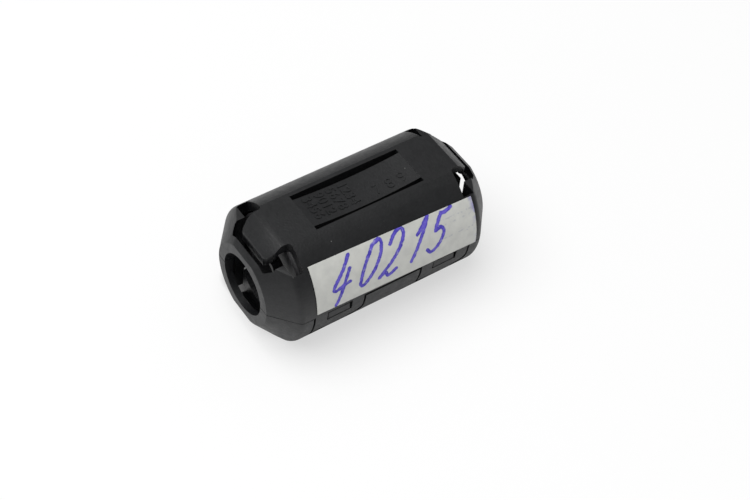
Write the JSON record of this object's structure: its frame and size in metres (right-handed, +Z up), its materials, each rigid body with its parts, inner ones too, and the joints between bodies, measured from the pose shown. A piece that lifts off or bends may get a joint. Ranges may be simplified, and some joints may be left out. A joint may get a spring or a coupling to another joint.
{
  "type": "clip on ferrite bead",
  "caption": "Hinged plastic snap case with ferrite half cores that clips round a cable to suppress interference, with a paper label on its front.",
  "frame": {"origin": "on the axis of the cable bore, halfway between the two end faces, in the parting plane of the case", "axes": "+X along the cable bore, +Y towards the film hinge and away from the latches, +Z up through the upper shell"},
  "size_m": [0.035, 0.0203, 0.0178],
  "materials": {
    "case": "fine spark-eroded texture with a soft satin sheen",
    "ferrite": "sintered, ground dull grey",
    "label": "matte self-adhesive paper"
  },
  "bodies": {
    "base": {"lower_shell": "case", "lower_core": "ferrite", "film_hinge": "case"},
    "lid": {"upper_shell": "case", "upper_core": "ferrite", "paper_label": "label"}
  },
  "joints": [
    {"name": "case_hinge", "type": "hinge", "parent": "base", "child": "lid", "pos_m": [0, 0.01047, 0], "axis": [-1, 0, 0], "range_deg": [0, 180], "deforming": ["film_hinge"]}
  ]
}
